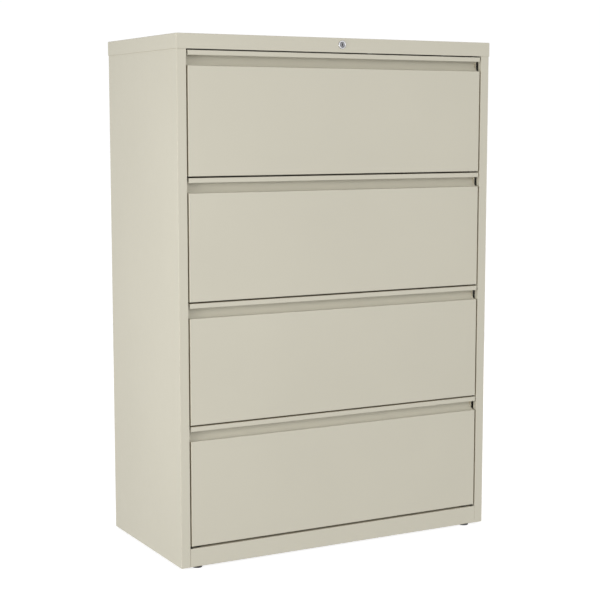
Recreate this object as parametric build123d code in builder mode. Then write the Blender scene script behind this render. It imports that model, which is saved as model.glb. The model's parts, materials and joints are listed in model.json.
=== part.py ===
"""Four-drawer lateral filing cabinet in folded sheet steel, in millimetres.

The origin is on the floor under the middle of the cabinet. +X points to the right of
someone facing the drawers, +Y to the back of the cabinet and +Z up.
"""

import math
import os
from build123d import *

os.makedirs("parts", exist_ok=True)

# ---------------------------------------------------------------- driving dimensions

cap_width = 914.4
cap_depth = 447.7
overall_height = 1320.8
cap_skirt = 36.4
cap_sheet = 1.2
cap_radius = 2.0
cap_overhang = 1.4
lock_proud = 2.2

sheet = 0.9
fold_radius = 1.4
heavy_sheet = 1.2
foot_drop = 6.0

stile_width = 25.0
stile_return = 13.2
rear_flange = 20.0
header_corner_radius = 8.5
header_ear = 26.0

drawer_count = 4
drawer_pitch = 306.7
drawer_gap = 3.9
header_gap = 3.0
base_gap = 5.8
side_gap = 3.9
lip_height = 12.0
lip_hem = 2.6
recess_height = 25.0
recess_depth = 24.0
recess_cove_radius = 20.0
pull_end_tab = 6.5
pull_lap = 20.0

slide_width = 12.7
slide_length = 406.0
slide_height = 45.6
slide_rise = 128.0
slide_setback = 28.0
fixed_member_depth = 9.4
middle_member_depth = 7.4
middle_member_height = 41.2
middle_member_offset = 3.0
drawer_member_depth = 7.3
drawer_member_height = 35.6

box_floor = 10.0
box_top = 250.0
box_rim = 5.0
hang_rail_spacing = 308.0
hang_rail_height = 16.0
hang_rail_thickness = 1.5

lock_drop = 16.8
bezel_radius = 10.8
barrel_radius = 9.4
plug_radius = 6.5
running_clearance = 0.08
cam_throw = 12.0
crank_throw = 14.0
crank_x = 423.0
crank_rise = 1.3
link_pin_radius = 2.0
link_slack = 0.7

leveler_inset = 50.0
leveler_setback = 16.0
leveler_rear_setback = 30.0
leveler_pad_radius = 12.5
leveler_stem_radius = 4.4
access_hole_radius = 9.2

# ---------------------------------------------------------------- derived places

cap_front = -(cap_depth + lock_proud) / 2 + lock_proud
cap_back = cap_front + cap_depth
face_y = cap_front + cap_overhang
back_y = cap_back - cap_overhang
case_half = cap_width / 2 - cap_overhang
opening_half = case_half - stile_width
cap_underside = overall_height - cap_sheet
header_z = overall_height - cap_skirt

drawer_height = drawer_pitch - drawer_gap
drawer_tops = [header_z - header_gap - n * drawer_pitch for n in range(drawer_count)]
drawer_bottoms = [top - drawer_height for top in drawer_tops]
front_half = opening_half - side_gap
face_height = drawer_height - lip_height - recess_height
rail_top = drawer_bottoms[-1] - base_gap

wall_y = face_y + recess_depth
box_front = wall_y + sheet
box_half = opening_half - slide_width
box_rear = box_front + slide_length - 2

bar_y = face_y + 28.0
bar_x = 438.0
upright_front_y = face_y + 44.0
upright_rear_y = face_y + 384.0
upright_width = 40.0

lock_z = overall_height - lock_drop
crank_z = lock_z + crank_rise
lock_angle = 45.0
link_stroke = 2 * cam_throw * math.sin(math.radians(lock_angle))
crank_angle = math.degrees(math.asin(link_stroke / 2 / crank_throw))


# ---------------------------------------------------------------- helpers


def block(low, high, mode=Mode.ADD):
    """Add or cut a box given by its lowest and highest corners."""
    with Locations(tuple((a + b) / 2 for a, b in zip(low, high))):
        Box(*[b - a for a, b in zip(low, high)], mode=mode)


def rod(start, end, radius, mode=Mode.ADD):
    """Add or cut a round bar between two points on a line along one axis."""
    middle = (Vector(*start) + Vector(*end)) / 2
    direction = Vector(*end) - Vector(*start)
    with Locations(Plane(middle, z_dir=direction)):
        Cylinder(radius, direction.length, mode=mode)


def finish(piece, name):
    """Name a piece and write it to its own file."""
    piece.part.label = name
    export_step(piece.part, f"parts/{name}.step")


def mirrored(piece):
    """The same piece on the other side of the cabinet."""
    with BuildPart() as other:
        mirror(piece.part, about=Plane.YZ)
    return other


# ---------------------------------------------------------------- case shell

with BuildPart() as right_side:
    with BuildSketch(Plane.XY.offset(foot_drop)):
        with BuildLine():
            Polyline(
                (opening_half, face_y + stile_return),
                (opening_half, face_y),
                (case_half, face_y),
                (case_half, back_y),
                (case_half - rear_flange, back_y),
                (case_half - rear_flange, back_y - sheet),
                (case_half - sheet, back_y - sheet),
                (case_half - sheet, face_y + sheet),
                (opening_half + sheet, face_y + sheet),
                (opening_half + sheet, face_y + stile_return),
                close=True,
            )
        outline = make_face()
        outer = outline.vertices().filter_by(lambda v: v.Y in (face_y, back_y))
        fillet(outer.filter_by(lambda v: v.X != case_half - rear_flange), fold_radius)
    extrude(amount=cap_underside - foot_drop)
    with BuildSketch(Plane.XZ.offset(-face_y)):
        with BuildLine():
            Polyline(
                (opening_half - header_ear, cap_underside),
                (opening_half - header_ear, header_z),
                (opening_half, header_z),
                (opening_half, header_z - 2 * header_corner_radius),
                (opening_half + fold_radius, header_z - 2 * header_corner_radius),
                (opening_half + fold_radius, cap_underside),
                close=True,
            )
        ear = make_face()
        corner = ear.vertices().filter_by(lambda v: v.Z == header_z and v.X == opening_half)
        fillet(corner, header_corner_radius)
    extrude(amount=-sheet)
    block(
        (case_half - rear_flange, face_y + sheet, foot_drop),
        (case_half - sheet / 2, back_y - sheet, foot_drop + sheet),
    )
finish(right_side, "right_side_panel")
left_side = mirrored(right_side)
finish(left_side, "left_side_panel")

with BuildPart() as top_cap:
    block((-cap_width / 2, cap_front, header_z), (cap_width / 2, cap_back, overall_height))
    top_edges = top_cap.faces().sort_by(Axis.Z)[-1].edges()
    fillet(top_edges + top_cap.edges().filter_by(Axis.Z), cap_radius)
    block(
        (-cap_width / 2 + cap_sheet, cap_front + cap_sheet, header_z),
        (cap_width / 2 - cap_sheet, cap_back - cap_sheet, cap_underside),
        mode=Mode.SUBTRACT,
    )
    rod((0, cap_front - 1, lock_z), (0, cap_front + 2, lock_z), barrel_radius + 0.1, mode=Mode.SUBTRACT)
finish(top_cap, "top_cap")

with BuildPart() as back_panel:
    block(
        (-case_half + sheet, back_y - 2 * sheet, foot_drop + sheet),
        (case_half - sheet, back_y - sheet, cap_underside),
    )
finish(back_panel, "back_panel")

# A channel between the stiles. Its top flange has a hole over each front foot and is notched at the ends.
rail_depth = 30.0
rail_half = opening_half - 0.3
rail_notch = 9.0
feet_front_y = face_y + leveler_setback
feet_rear_y = back_y - leveler_rear_setback
feet_x = case_half - leveler_inset
with BuildPart() as base_rail:
    block((-rail_half, face_y, foot_drop), (rail_half, face_y + rail_depth, rail_top))
    fillet(base_rail.faces().sort_by(Axis.Y)[0].edges().filter_by(Axis.X), fold_radius)
    block(
        (-rail_half, face_y + heavy_sheet, foot_drop + heavy_sheet),
        (rail_half, face_y + rail_depth, rail_top - heavy_sheet),
        mode=Mode.SUBTRACT,
    )
    for side in (-1, 1):
        x, y = side * feet_x, feet_front_y
        rod((x, y, rail_top - 3), (x, y, rail_top + 1), access_hole_radius, Mode.SUBTRACT)
        rod((x, y, 0), (x, y, foot_drop + 3), leveler_stem_radius + 0.9, Mode.SUBTRACT)
        notch_low, notch_high = sorted((side * (rail_half - rail_notch), side * (rail_half + 1)))
        block(
            (notch_low, face_y + 2 * heavy_sheet, rail_top - 2 * heavy_sheet),
            (notch_high, face_y + rail_depth + 1, rail_top + 1),
            mode=Mode.SUBTRACT,
        )
finish(base_rail, "base_front_rail")

pan_z = foot_drop + sheet
with BuildPart() as bottom_pan:
    block(
        (-case_half + sheet, face_y + rail_depth, pan_z),
        (case_half - sheet, back_y - 2 * sheet, pan_z + sheet),
    )
    for x in (-feet_x, feet_x):
        rod((x, feet_rear_y, 0), (x, feet_rear_y, pan_z + 3), leveler_stem_radius + 0.9, Mode.SUBTRACT)
finish(bottom_pan, "bottom_pan")

# A steel slab low at the back keeps the cabinet from tipping when a full drawer is out.
counterweight_half = 380.0
counterweight_depth = 110.0
counterweight_height = 22.0
with BuildPart() as counterweight:
    rear = back_y - 2 * sheet - 12
    block(
        (-counterweight_half, rear - counterweight_depth, pan_z + sheet),
        (counterweight_half, rear, pan_z + sheet + counterweight_height),
    )
finish(counterweight, "counterweight")

# ---------------------------------------------------------------- uprights and drawer slides

upright_top = header_z - 8
screw_radius = 2.2
screw_heights = [bottom + slide_rise for bottom in drawer_bottoms]
screw_ys = [upright_front_y + upright_width / 2, upright_rear_y + upright_width / 2]

# Each upright is a channel, open towards the side panel, that carries the fixed slide members.
with BuildPart() as right_uprights:
    for y in (upright_front_y, upright_rear_y):
        block((opening_half, y, pan_z + sheet), (case_half - sheet, y + upright_width, upright_top))
        block(
            (opening_half + heavy_sheet, y + heavy_sheet, pan_z + sheet),
            (case_half - sheet, y + upright_width - heavy_sheet, upright_top),
            mode=Mode.SUBTRACT,
        )
    for y in screw_ys:
        for z in screw_heights:
            rod((opening_half - 1, y, z), (opening_half + 3, y, z), screw_radius + 0.1, Mode.SUBTRACT)
finish(right_uprights, "right_uprights")
left_uprights = mirrored(right_uprights)
finish(left_uprights, "left_uprights")


def channel(x_back, x_open, half_height, y_start, y_end, thickness=heavy_sheet):
    """A rolled slide member: web at x_back, flanges reaching to x_open, centred on the slide height."""
    web_end = x_back + math.copysign(thickness, x_open - x_back)
    low_x, high_x = sorted((x_back, x_open))
    cut_low, cut_high = sorted((web_end, x_open))
    block((low_x, y_start, slide_rise - half_height), (high_x, y_end, slide_rise + half_height))
    block(
        (cut_low, y_start, slide_rise - half_height + thickness),
        (cut_high, y_end, slide_rise + half_height - thickness),
        mode=Mode.SUBTRACT,
    )


slide_front = face_y + slide_setback
slide_rear = slide_front + slide_length
with BuildPart() as fixed_slides:
    channel(opening_half, opening_half - fixed_member_depth, slide_height / 2, slide_front, slide_rear)
    for y in screw_ys:
        rod(
            (opening_half - 2, y, slide_rise),
            (opening_half + 1, y, slide_rise),
            screw_radius + 0.1,
            mode=Mode.SUBTRACT,
        )
    mirror(about=Plane.YZ)

middle_web_x = opening_half - middle_member_offset
with BuildPart() as middle_slides:
    channel(
        middle_web_x,
        middle_web_x - middle_member_depth,
        middle_member_height / 2,
        slide_front + 2,
        slide_rear - 2,
    )
    mirror(about=Plane.YZ)

with BuildPart() as drawer_slides:
    channel(
        box_half,
        box_half + drawer_member_depth,
        drawer_member_height / 2,
        slide_front - 2,
        slide_rear - 2,
    )
    mirror(about=Plane.YZ)

with BuildPart() as slide_screws:
    for z in screw_heights:
        for y in screw_ys:
            rod((opening_half - 2.5, y, z), (opening_half - heavy_sheet, y, z), 2 * screw_radius)
            rod((opening_half - 2.0, y, z), (opening_half + 5, y, z), screw_radius)
    mirror(about=Plane.YZ)
finish(slide_screws, "slide_screws")

with BuildPart() as slide_bumpers:
    for z in screw_heights:
        block(
            (box_half + 0.6, slide_rear - 1.6, z - 7),
            (opening_half - heavy_sheet, slide_rear + 4.0, z + 7),
        )
    mirror(about=Plane.YZ)
finish(slide_bumpers, "slide_bumpers")

# ---------------------------------------------------------------- drawer, its front's lower edge at z = 0

with BuildPart() as drawer_front:
    block((-front_half, face_y, 0), (front_half, box_front, face_height))
    fillet(drawer_front.faces().sort_by(Axis.Y)[0].edges(), fold_radius)
    block(
        (-front_half + sheet, face_y + sheet, sheet),
        (front_half - sheet, box_front, face_height - sheet),
        mode=Mode.SUBTRACT,
    )
    block(
        (-front_half + sheet, wall_y - recess_cove_radius, face_height - 2 * sheet),
        (front_half - sheet, box_front, face_height),
        mode=Mode.SUBTRACT,
    )

# One strip bent from the hemmed lip, over the top and down the recess's back wall, with a wide
# cove that sweeps from the wall forward onto the front's upper flange.
with BuildPart() as pull:
    with BuildSketch(Plane.YZ):
        with BuildLine():
            FilletPolyline(
                (face_y + lip_hem, drawer_height - lip_height + 4),
                (face_y + lip_hem, drawer_height - lip_height),
                (face_y, drawer_height - lip_height),
                (face_y, drawer_height),
                (box_front, drawer_height),
                (box_front, face_height - pull_lap),
                radius=lip_hem / 2 - 0.01,
            )
            offset(amount=sheet, side=Side.RIGHT)
        make_face()
    extrude(amount=front_half, both=True)
    with BuildSketch(Plane.YZ):
        with Locations((wall_y - recess_cove_radius, face_height + recess_cove_radius)):
            Circle(recess_cove_radius + sheet)
            Circle(recess_cove_radius, mode=Mode.SUBTRACT)
            Rectangle(
                recess_cove_radius + sheet,
                recess_cove_radius + sheet,
                align=(Align.MIN, Align.MAX),
                mode=Mode.INTERSECT,
            )
    extrude(amount=front_half, both=True)
    for end in (-1, 1):
        x_low, x_high = sorted((end * front_half, end * (front_half - sheet)))
        block(
            (x_low, wall_y - pull_end_tab, face_height),
            (x_high, wall_y + sheet / 2, drawer_height - sheet / 2),
        )
        block(
            (x_low, wall_y - recess_cove_radius - 1, 0),
            (x_high, box_front + 1, face_height),
            mode=Mode.SUBTRACT,
        )

with BuildPart() as box:
    block((-box_half, box_front, box_floor), (box_half, box_rear, box_top))
    block(
        (-box_half + sheet, box_front + sheet, box_floor + sheet),
        (box_half - sheet, box_rear - sheet, box_top),
        mode=Mode.SUBTRACT,
    )
    for end in (-1, 1):
        x_low, x_high = sorted((end * (box_half - sheet / 2), end * (box_half + box_rim)))
        block((x_low, box_front + 8, box_top - sheet), (x_high, box_rear, box_top))
    block((-box_half, box_rear - sheet / 2, box_top - sheet), (box_half, box_rear + box_rim, box_top))

rail_start = face_y + 62.0
with BuildPart() as hang_rails:
    for y in (rail_start, rail_start + hang_rail_spacing):
        block(
            (-box_half + sheet, y, box_top + heavy_sheet - hang_rail_height),
            (box_half - sheet, y + hang_rail_thickness, box_top + heavy_sheet),
        )
        block(
            (-box_half - box_rim, y - 4, box_top),
            (-box_half + sheet + 2, y + hang_rail_thickness + 4, box_top + heavy_sheet),
        )
        block(
            (box_half - sheet - 2, y - 4, box_top),
            (box_half + box_rim, y + hang_rail_thickness + 4, box_top + heavy_sheet),
        )

# The lock bar's tab drops in front of this catch.
catch_z = 215.0
catch_half = 5.0
catch_x = opening_half - 2.4
with BuildPart() as lock_catch:
    block((box_half, bar_y + 8, catch_z - catch_half), (catch_x, bar_y + 10, catch_z + catch_half))
    block(
        (box_half, bar_y + 9, catch_z - 2 * catch_half),
        (box_half + heavy_sheet, bar_y + 30, catch_z + 2 * catch_half),
    )

drawer_pieces = {
    "front": drawer_front,
    "pull": pull,
    "box": box,
    "hang_rails": hang_rails,
    "lock_catch": lock_catch,
    "drawer_slides": drawer_slides,
    "middle_slides": middle_slides,
    "fixed_slides": fixed_slides,
}
for number, bottom in enumerate(drawer_bottoms, start=1):
    for name, master in drawer_pieces.items():
        with BuildPart() as piece:
            with Locations((0, 0, bottom)):
                add(master.part)
        finish(piece, f"drawer_{number}_{name}")

# ---------------------------------------------------------------- lock and its linkage

plug_end = face_y + 26.0
bezel_round = 1.7
dish_width = 1.5
with BuildPart() as lock_housing:
    rod((0, cap_front - lock_proud, lock_z), (0, cap_front, lock_z), bezel_radius)
    fillet(lock_housing.faces().sort_by(Axis.Y)[0].edges(), bezel_round)
    rod((0, cap_front, lock_z), (0, plug_end - 2, lock_z), barrel_radius)
    rod((0, cap_front - 3, lock_z), (0, plug_end, lock_z), plug_radius + running_clearance, Mode.SUBTRACT)
    rim = lock_housing.faces().filter_by(GeomType.PLANE).sort_by(Axis.Y)[0]
    chamfer(rim.inner_wires().edges(), dish_width)
finish(lock_housing, "lock_housing")

nut_y = cap_front + cap_sheet
with BuildPart() as lock_nut:
    with BuildSketch(Plane.XZ.offset(-nut_y)):
        with Locations((0, lock_z)):
            RegularPolygon(13.0, 6)
            Circle(barrel_radius + 0.1, mode=Mode.SUBTRACT)
    extrude(amount=-4.0)
finish(lock_nut, "lock_nut")

keyway_depth = 15.0
with BuildPart() as lock_plug:
    plug_face = cap_front - lock_proud + 0.9
    rod((0, plug_face, lock_z), (0, plug_end, lock_z), plug_radius)
    fillet(lock_plug.faces().sort_by(Axis.Y)[0].edges(), 0.6)
    for width, height in ((1.6, 8.4), (3.0, 3.0)):
        block(
            (-width / 2, plug_face - 1, lock_z - height / 2),
            (width / 2, plug_face + keyway_depth, lock_z + height / 2),
            mode=Mode.SUBTRACT,
        )
    rod((0, plug_end, lock_z), (0, plug_end + 3.2, lock_z), 3.0)
finish(lock_plug, "lock_plug")

cam_sheet = 2.0
link_y = plug_end + 4.3
crank_y = link_y + 3.5
head_y = crank_y + 3.5
bracket_y = head_y + 4.5
cam_pin_x = cam_throw * math.sin(math.radians(lock_angle))
cam_pin_z = lock_z - cam_throw * math.cos(math.radians(lock_angle))
with BuildPart() as lock_cam:
    with BuildSketch(Plane(origin=(0, plug_end, lock_z), x_dir=(1, 0, -1), z_dir=(0, 1, 0))):
        with Locations((cam_throw / 2, 0)):
            SlotCenterToCenter(cam_throw, 8.0)
        Circle(3.1, mode=Mode.SUBTRACT)
    extrude(amount=cam_sheet)
    rod((cam_pin_x, plug_end + 1, cam_pin_z), (cam_pin_x, link_y + 2.6, cam_pin_z), link_pin_radius)
finish(lock_cam, "lock_cam")

slot_half = link_pin_radius + link_slack
link_low = lock_z - 17.2
link_high = lock_z - 3.4
crank_pin_x = crank_x + crank_throw * math.sin(math.radians(crank_angle))
crank_pin_z = crank_z - crank_throw * math.cos(math.radians(crank_angle))
bar_pin_x = crank_x + crank_throw * math.cos(math.radians(crank_angle))
bar_pin_z = crank_z + crank_throw * math.sin(math.radians(crank_angle))
with BuildPart() as lock_link:
    block((cam_pin_x - 8, link_y, link_low), (crank_pin_x + 7, link_y + cam_sheet, link_high))
    for x in (cam_pin_x, crank_pin_x):
        block(
            (x - slot_half, link_y, link_low + 1.8),
            (x + slot_half, link_y + cam_sheet, link_high - 2.4),
            mode=Mode.SUBTRACT,
        )
finish(lock_link, "lock_link")

link_guide_places = (100.0, 330.0)
link_guide_half = 6.0
with BuildPart() as link_guides:
    for x in link_guide_places:
        block(
            (x - link_guide_half, link_y - 2, link_low - 2),
            (x + link_guide_half, link_y + cam_sheet + 2, cap_underside),
        )
        block(
            (x - link_guide_half, link_y - 0.5, link_low - 0.5),
            (x + link_guide_half, link_y + cam_sheet + 0.5, link_high + 0.5),
            mode=Mode.SUBTRACT,
        )
finish(link_guides, "lock_link_guides")

# The bell crank turns the link's sideways pull into the bar's drop.
pivot_radius = 2.5
with BuildPart() as lock_crank:
    down_arm = (crank_pin_x - crank_x, 0, crank_pin_z - crank_z)
    side_arm = (bar_pin_x - crank_x, 0, bar_pin_z - crank_z)
    for arm in (down_arm, side_arm):
        with BuildSketch(Plane((crank_x, crank_y, crank_z), x_dir=arm, z_dir=(0, 1, 0))):
            with Locations((crank_throw / 2, 0)):
                SlotCenterToCenter(crank_throw, 8.0)
        extrude(amount=cam_sheet)
    rod(
        (crank_x, crank_y - 1, crank_z),
        (crank_x, crank_y + cam_sheet + 1, crank_z),
        pivot_radius + running_clearance,
        mode=Mode.SUBTRACT,
    )
    rod((crank_pin_x, link_y - 0.6, crank_pin_z), (crank_pin_x, crank_y + 1, crank_pin_z), link_pin_radius)
    rod((bar_pin_x, crank_y + 1, bar_pin_z), (bar_pin_x, head_y + 2.6, bar_pin_z), link_pin_radius)
finish(lock_crank, "lock_crank")

with BuildPart() as crank_bracket:
    block((crank_x - 8, bracket_y, crank_z - 8), (crank_x + 8, bracket_y + cam_sheet, cap_underside))
    block((crank_x - 8, bracket_y, cap_underside - cam_sheet), (crank_x + 8, bracket_y + 20, cap_underside))
    rod((crank_x, crank_y - 0.6, crank_z), (crank_x, bracket_y + 1, crank_z), pivot_radius)
    rod((crank_x, crank_y - 1.4, crank_z), (crank_x, crank_y - 0.4, crank_z), pivot_radius + 1)
finish(crank_bracket, "lock_crank_bracket")

bar_width = 12.0
bar_top = link_low - 2.5
bar_bottom = 80.0
with BuildPart() as lock_bar:
    block((bar_x, bar_y, bar_bottom), (bar_x + cam_sheet, bar_y + bar_width, bar_top))
    block((bar_pin_x - 6, head_y, bar_top - 10), (bar_x + 8, head_y + cam_sheet, bar_pin_z + slot_half + 2))
    block(
        (bar_pin_x - slot_half, head_y, bar_pin_z - slot_half),
        (crank_x + crank_throw + slot_half, head_y + cam_sheet, bar_pin_z + slot_half),
        mode=Mode.SUBTRACT,
    )
finish(lock_bar, "lock_bar")

# One tab for each drawer is welded to the bar's front edge side.
with BuildPart() as bar_tabs:
    for bottom in drawer_bottoms:
        tab_z = bottom + catch_z + catch_half + 3
        block((catch_x - 4, bar_y + 3, tab_z), (bar_x, bar_y + 5, tab_z + 12))
finish(bar_tabs, "lock_bar_tabs")

bar_guide_bottoms = (150.0, 480.0, 1120.0)
bar_guide_height = 12.0
with BuildPart() as bar_guides:
    for z in bar_guide_bottoms:
        block((bar_x - 5, bar_y - 1.8, z), (bar_x + 7, upright_front_y, z + bar_guide_height))
        block(
            (bar_x - 0.6, bar_y - 0.6, z),
            (bar_x + cam_sheet + 0.6, bar_y + bar_width + 0.6, z + bar_guide_height),
            mode=Mode.SUBTRACT,
        )
finish(bar_guides, "lock_bar_guides")

# ---------------------------------------------------------------- levelling feet

nut_height = 8.0
nut_corner_radius = 9.8
pad_height = foot_drop - 0.4
stem_top = 42.0
foot_places = {
    "front_left": (-feet_x, feet_front_y, foot_drop + heavy_sheet),
    "front_right": (feet_x, feet_front_y, foot_drop + heavy_sheet),
    "rear_left": (-feet_x, feet_rear_y, pan_z + sheet),
    "rear_right": (feet_x, feet_rear_y, pan_z + sheet),
}
with BuildPart() as leveler_nuts:
    for x, y, z in foot_places.values():
        with BuildSketch(Plane.XY.offset(z)):
            with Locations((x, y)):
                RegularPolygon(nut_corner_radius, 6)
                Circle(leveler_stem_radius + 0.4, mode=Mode.SUBTRACT)
        extrude(amount=nut_height)
finish(leveler_nuts, "leveler_nuts")

for corner_name, (x, y, z) in foot_places.items():
    with BuildPart() as leveler:
        with BuildSketch(Plane.XZ.offset(-y)):
            with BuildLine():
                Polyline(
                    (x, 0),
                    (x + leveler_pad_radius - 1, 0),
                    (x + leveler_pad_radius, 1),
                    (x + leveler_pad_radius, pad_height - 2),
                    (x + leveler_pad_radius - 4, pad_height),
                    (x + leveler_stem_radius, pad_height),
                    (x + leveler_stem_radius, stem_top - 1),
                    (x + leveler_stem_radius - 1, stem_top),
                    (x, stem_top),
                    close=True,
                )
            make_face()
        revolve(axis=Axis((x, y, 0), (0, 0, 1)))
    finish(leveler, f"leveler_{corner_name}")
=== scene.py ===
import json
import math

import bmesh
import bpy
from mathutils import Matrix, Vector


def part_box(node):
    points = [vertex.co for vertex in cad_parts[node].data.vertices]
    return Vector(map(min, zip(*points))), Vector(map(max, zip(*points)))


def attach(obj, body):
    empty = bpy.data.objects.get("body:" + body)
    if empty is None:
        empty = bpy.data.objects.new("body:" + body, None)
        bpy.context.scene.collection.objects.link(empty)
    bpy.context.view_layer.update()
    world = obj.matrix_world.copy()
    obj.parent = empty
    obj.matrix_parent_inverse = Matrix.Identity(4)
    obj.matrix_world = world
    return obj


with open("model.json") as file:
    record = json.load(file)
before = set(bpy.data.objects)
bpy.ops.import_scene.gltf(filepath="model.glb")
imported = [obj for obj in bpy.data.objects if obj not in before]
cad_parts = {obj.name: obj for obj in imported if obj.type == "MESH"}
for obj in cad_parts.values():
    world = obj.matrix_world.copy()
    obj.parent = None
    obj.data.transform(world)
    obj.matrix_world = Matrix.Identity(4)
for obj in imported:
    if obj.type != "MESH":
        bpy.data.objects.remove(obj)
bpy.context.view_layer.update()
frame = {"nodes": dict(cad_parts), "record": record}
nodes = frame["nodes"]
millimetre = 0.001


# ------------------------------------------------------------------ camera

camera_azimuth = math.radians(28.6)
camera_distance = 3.90
camera_height = 1.104
aim_height = 0.630
camera_lens = 86.7


def add_camera():
    """A long lens from the left of the drawers, with its axis through the middle of the cabinet."""
    data = bpy.data.cameras.new("camera")
    data.lens = camera_lens
    camera = bpy.data.objects.new("camera", data)
    bpy.context.scene.collection.objects.link(camera)
    back = Vector((-math.sin(camera_azimuth), -math.cos(camera_azimuth), 0)) * camera_distance
    camera.location = back + Vector((0, 0, camera_height))
    aim = Vector((0, 0, aim_height))
    camera.rotation_euler = (aim - camera.location).to_track_quat("-Z", "Y").to_euler()
    data.clip_end = 100
    bpy.context.scene.camera = camera


# ------------------------------------------------------------------ material helpers


def new_material(name):
    """An empty node material with its principled shader, and a function that adds nodes to it."""
    material = bpy.data.materials.new(name)
    material.use_nodes = True
    tree = material.node_tree
    shader = tree.nodes["Principled BSDF"]

    def add(kind, **inputs):
        node = tree.nodes.new(kind)
        for key, value in inputs.items():
            node.inputs[key.replace("_", " ")].default_value = value
        return node

    return material, tree, shader, add


def object_noise(tree, add, scale, detail=2.0, stretch=(1, 1, 1)):
    """A noise texture in the object's own metres."""
    place = add("ShaderNodeTexCoord")
    mapping = add("ShaderNodeMapping", Scale=stretch)
    noise = add("ShaderNodeTexNoise", Scale=scale, Detail=detail)
    tree.links.new(place.outputs["Object"], mapping.inputs["Vector"])
    tree.links.new(mapping.outputs["Vector"], noise.inputs["Vector"])
    return noise.outputs["Fac"]


def ramp_between(tree, add, factor, low, high, start=0.3, end=0.7):
    """Maps a factor from start to end onto values from low to high."""
    ramp = add("ShaderNodeMapRange")
    ramp.inputs["From Min"].default_value = start
    ramp.inputs["From Max"].default_value = end
    ramp.inputs["To Min"].default_value = low
    ramp.inputs["To Max"].default_value = high
    tree.links.new(factor, ramp.inputs["Value"])
    return ramp.outputs["Result"]


def mix_colours(tree, factor, first, second):
    """A colour between two colours by a factor. Each is a plain colour or another node's output."""
    mix = tree.nodes.new("ShaderNodeMix")
    mix.data_type = "RGBA"
    for socket, colour in ((mix.inputs[6], first), (mix.inputs[7], second)):
        if isinstance(colour, tuple):
            socket.default_value = (*colour, 1)
        else:
            tree.links.new(colour, socket)
    tree.links.new(factor, mix.inputs[0])
    return mix.outputs[2]


def add_bump(tree, add, shader, height, distance, strength=1.0):
    """Raises the shader's normal by a height given in metres."""
    bump = add("ShaderNodeBump", Strength=strength, Distance=distance)
    tree.links.new(height, bump.inputs["Height"])
    tree.links.new(bump.outputs["Normal"], shader.inputs["Normal"])


def shaded(colour, factor):
    """A colour made lighter or darker."""
    return tuple(channel * factor for channel in colour)


# ------------------------------------------------------------------ materials

putty = (0.565, 0.538, 0.443)
# Painted shade: a browner colour and its reach, mixed into the paint where an occlusion node finds
# nearby surfaces in gaps, folds and recesses.
painted_gap_shade_colour = (0.48, 0.41, 0.27)
painted_gap_shade_reach = 8 * millimetre


def painted_steel(name, colour, roughness=0.55):
    """Powder coat on sheet steel: faint orange peel, a slight drift in tone, and painted shade that
    turns it browner in gaps and folds.
    """
    material, tree, shader, add = new_material(name)
    drift = object_noise(tree, add, 3.0, 3.0)
    tone = ramp_between(tree, add, drift, 0.0, 1.0)
    tinted = mix_colours(tree, tone, shaded(colour, 0.985), shaded(colour, 1.015))
    # Painted shade: the more closed in a point is by nearby surfaces, the more the paint turns to
    # the browner shade colour.
    openness = add("ShaderNodeAmbientOcclusion", Distance=painted_gap_shade_reach)
    painted_shade_amount = ramp_between(tree, add, openness.outputs["AO"], 1.0, 0.0, 0.1, 0.75)
    putty_with_painted_shade = mix_colours(tree, painted_shade_amount, tinted, painted_gap_shade_colour)
    tree.links.new(putty_with_painted_shade, shader.inputs["Base Color"])
    speckle = object_noise(tree, add, 60.0, 4.0)
    gloss = ramp_between(tree, add, speckle, roughness - 0.04, roughness + 0.04)
    tree.links.new(gloss, shader.inputs["Roughness"])
    shader.inputs["Specular IOR Level"].default_value = 0.3
    peel = object_noise(tree, add, 650.0, 2.0)
    add_bump(tree, add, shader, peel, 0.00004, 0.5)
    return material


def zinc_plate(name, colour=(0.62, 0.62, 0.60)):
    """Galvanised sheet: crystal spangle in tone and gloss over a fine rolled grain."""
    material, tree, shader, add = new_material(name)
    shader.inputs["Metallic"].default_value = 1.0
    place = add("ShaderNodeTexCoord")
    spangle = add("ShaderNodeTexVoronoi", Scale=160.0)
    tree.links.new(place.outputs["Object"], spangle.inputs["Vector"])
    split = tree.nodes.new("ShaderNodeSeparateColor")
    tree.links.new(spangle.outputs["Color"], split.inputs["Color"])
    tinted = mix_colours(tree, split.outputs[0], shaded(colour, 0.93), shaded(colour, 1.04))
    tree.links.new(tinted, shader.inputs["Base Color"])
    gloss = ramp_between(tree, add, split.outputs[1], 0.30, 0.46, 0.0, 1.0)
    tree.links.new(gloss, shader.inputs["Roughness"])
    grain = object_noise(tree, add, 400.0, 3.0, (1, 0.08, 1))
    add_bump(tree, add, shader, grain, 0.00003, 0.4)
    return material


def polished_chrome(name, colour, roughness):
    """Chrome plate with faint handling haze."""
    material, tree, shader, add = new_material(name)
    shader.inputs["Metallic"].default_value = 1.0
    shader.inputs["Base Color"].default_value = (*colour, 1)
    haze = object_noise(tree, add, 300.0, 4.0)
    gloss = ramp_between(tree, add, haze, roughness, roughness + 0.08)
    tree.links.new(gloss, shader.inputs["Roughness"])
    return material


def grained_black(name, colour, roughness, grain_scale, grain_height):
    """Black plastic, rubber or oxidised steel with an even grain."""
    material, tree, shader, add = new_material(name)
    drift = object_noise(tree, add, 40.0, 3.0)
    tinted = mix_colours(tree, drift, shaded(colour, 0.8), shaded(colour, 1.3))
    tree.links.new(tinted, shader.inputs["Base Color"])
    gloss = ramp_between(tree, add, drift, roughness - 0.06, roughness + 0.06)
    tree.links.new(gloss, shader.inputs["Roughness"])
    grain = object_noise(tree, add, grain_scale, 2.0)
    add_bump(tree, add, shader, grain, grain_height, 0.6)
    return material


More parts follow.
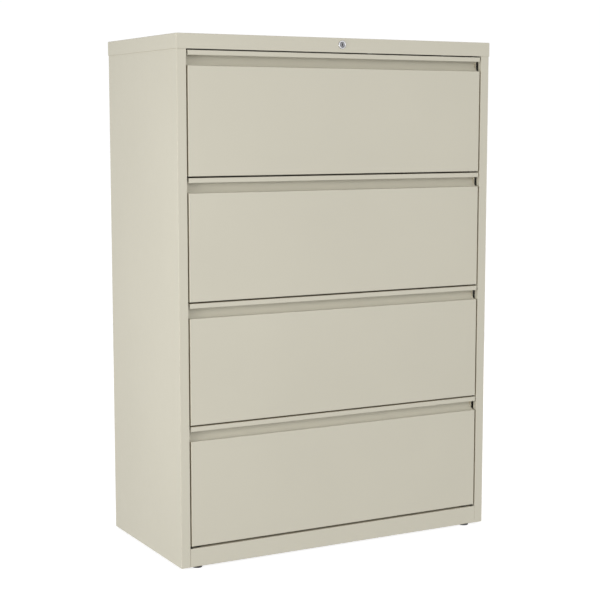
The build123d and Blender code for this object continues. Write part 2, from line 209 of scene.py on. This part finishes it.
slot_materials = {
    "case_paint": painted_steel("putty_case", putty),
    "front_paint": painted_steel("putty_front", putty),
    "inner_paint": painted_steel("putty_inside", shaded(putty, 0.97), 0.58),
    "zinc": zinc_plate("zinc_plate"),
    "lock_chrome": polished_chrome("lock_chrome", (0.46, 0.46, 0.47), 0.14),
    "lock_steel": polished_chrome("lock_nickel", (0.17, 0.17, 0.18), 0.30),
    "bumper_rubber": grained_black("bumper_rubber", (0.03, 0.03, 0.03), 0.7, 900.0, 0.00005),
    "foot_plastic": grained_black("foot_plastic", (0.06, 0.06, 0.062), 0.5, 1200.0, 0.00004),
    "ballast": grained_black("ballast", (0.06, 0.06, 0.065), 0.55, 220.0, 0.0003),
}


def dress_nodes():
    """Gives each CAD node the material of its slot."""
    for part in frame["record"]["subparts"]:
        mesh = nodes[part["node"]].data
        mesh.materials.clear()
        mesh.materials.append(slot_materials[part["material_slot"]])


# ------------------------------------------------------------------ rivets on the back

rivet_radius = 4.0 * millimetre
rivet_rise = 1.3 * millimetre
rivet_rows = 9
rivet_end_margin = 60 * millimetre
flange_middle = 10 * millimetre


def add_back_rivets():
    """Plated rivet heads that hold the back panel, down the middle of each rear flange."""
    side_low, side_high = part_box("left_side_panel")
    panel_low, panel_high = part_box("back_panel")
    first = panel_low.z + rivet_end_margin
    step = (panel_high.z - panel_low.z - 2 * rivet_end_margin) / (rivet_rows - 1)
    flatten = Matrix.Diagonal((rivet_radius, rivet_rise, rivet_radius, 1))
    heads = bmesh.new()
    for row in range(rivet_rows):
        for x in (side_low.x + flange_middle, -side_low.x - flange_middle):
            place = Matrix.Translation((x, side_high.y, first + row * step))
            bmesh.ops.create_uvsphere(
                heads, u_segments=24, v_segments=12, radius=1, matrix=place @ flatten
            )
    mesh = bpy.data.meshes.new("back_rivets")
    heads.to_mesh(mesh)
    heads.free()
    mesh.shade_smooth()
    rivets = bpy.data.objects.new("back_rivets", mesh)
    bpy.context.scene.collection.objects.link(rivets)
    mesh.materials.append(slot_materials["zinc"])
    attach(rivets, "case")


# ------------------------------------------------------------------ floor and light

floor_size = 60
floor_grey = 0.45
floor_glow = 0.80

# Pairs of a direction's component, from -1 to 1, and the studio's level there.
wall_steps = ((-0.32, 0.20), (-0.03, 1.02), (0.17, 1.02), (0.58, 0.25))
glow_height_steps = ((0.0, 0.0), (0.20, 0.32), (0.72, 1.20), (0.92, 0.0))
glow_side_steps = ((-0.75, 1.0), (-0.05, 0.0))

# Each soft box's name, place, size and power.
soft_boxes = (
    ("side", (-2.4, -0.85, 0.7), 1.2, 29),
    ("front", (0.6, -2.9, 1.35), 1.8, 15),
    ("overhead", (0, 0.1, 3.4), 2.5, 3),
    ("rear", (2.4, 2.4, 1.2), 1.8, 24),
)
soft_box_aim = Vector((0, 0, 0.7))


def add_floor():
    """A wide, pale, matt floor, lit from below like a white sweep table."""
    bpy.ops.mesh.primitive_plane_add(size=floor_size)
    floor = bpy.context.object
    floor.name = "floor"
    material, tree, shader, add = new_material("pale_floor")
    shader.inputs["Base Color"].default_value = (floor_grey, floor_grey, floor_grey, 1)
    shader.inputs["Roughness"].default_value = 0.9
    shader.inputs["Specular IOR Level"].default_value = 0.1
    shader.inputs["Emission Color"].default_value = (1, 1, 1, 1)
    shader.inputs["Emission Strength"].default_value = floor_glow
    floor.data.materials.append(material)
    floor.visible_diffuse = False


def add_soft_box(name, place, size, power):
    """A square area light aimed at the middle of the cabinet."""
    data = bpy.data.lights.new(name, "AREA")
    data.shape = "SQUARE"
    data.size = size
    data.energy = power
    light = bpy.data.objects.new(name, data)
    light.location = place
    light.visible_camera = False
    light.rotation_euler = (soft_box_aim - Vector(place)).to_track_quat("-Z", "Y").to_euler()
    bpy.context.scene.collection.objects.link(light)


def world_ramp(tree, source, name, steps):
    """Maps one component of the world's direction onto levels at stated places along it."""
    place = tree.nodes.new("ShaderNodeMapRange")
    place.inputs["From Min"].default_value = -1
    tree.links.new(source, place.inputs["Value"])
    ramp = tree.nodes.new("ShaderNodeValToRGB")
    ramp.name = name
    ramp.color_ramp.interpolation = "EASE"
    stops = ramp.color_ramp.elements
    for index, (component, level) in enumerate(steps):
        stop = stops[index] if index < 2 else stops.new(1)
        stop.position = (component + 1) / 2
        stop.color = (level, level, level, 1)
    tree.links.new(place.outputs["Result"], ramp.inputs["Fac"])
    return ramp.outputs["Color"]


def add_world():
    """A studio with white walls, a dimmer ceiling and ground, and a bright glow high in front."""
    world = bpy.data.worlds.new("studio")
    world.use_nodes = True
    tree = world.node_tree
    direction = tree.nodes.new("ShaderNodeTexCoord")
    split = tree.nodes.new("ShaderNodeSeparateXYZ")
    tree.links.new(direction.outputs["Generated"], split.inputs["Vector"])
    walls = world_ramp(tree, split.outputs["Z"], "walls", wall_steps)
    glow_height = world_ramp(tree, split.outputs["Z"], "glow_height", glow_height_steps)
    glow_side = world_ramp(tree, split.outputs["Y"], "glow_side", glow_side_steps)
    glow = tree.nodes.new("ShaderNodeMath")
    glow.operation = "MULTIPLY"
    tree.links.new(glow_height, glow.inputs[0])
    tree.links.new(glow_side, glow.inputs[1])
    strength = tree.nodes.new("ShaderNodeMath")
    strength.operation = "ADD"
    tree.links.new(walls, strength.inputs[0])
    tree.links.new(glow.outputs[0], strength.inputs[1])
    background = tree.nodes["Background"]
    background.inputs["Color"].default_value = (1, 1, 1, 1)
    tree.links.new(strength.outputs[0], background.inputs["Strength"])
    bpy.context.scene.world = world


def add_light():
    """The studio, and soft boxes beside the cabinet, in front of it, above it and behind it."""
    add_world()
    for name, place, size, power in soft_boxes:
        add_soft_box(name, place, size, power)
    bpy.context.scene.view_settings.view_transform = "Standard"


add_camera()
dress_nodes()
add_back_rivets()
add_floor()
add_light()
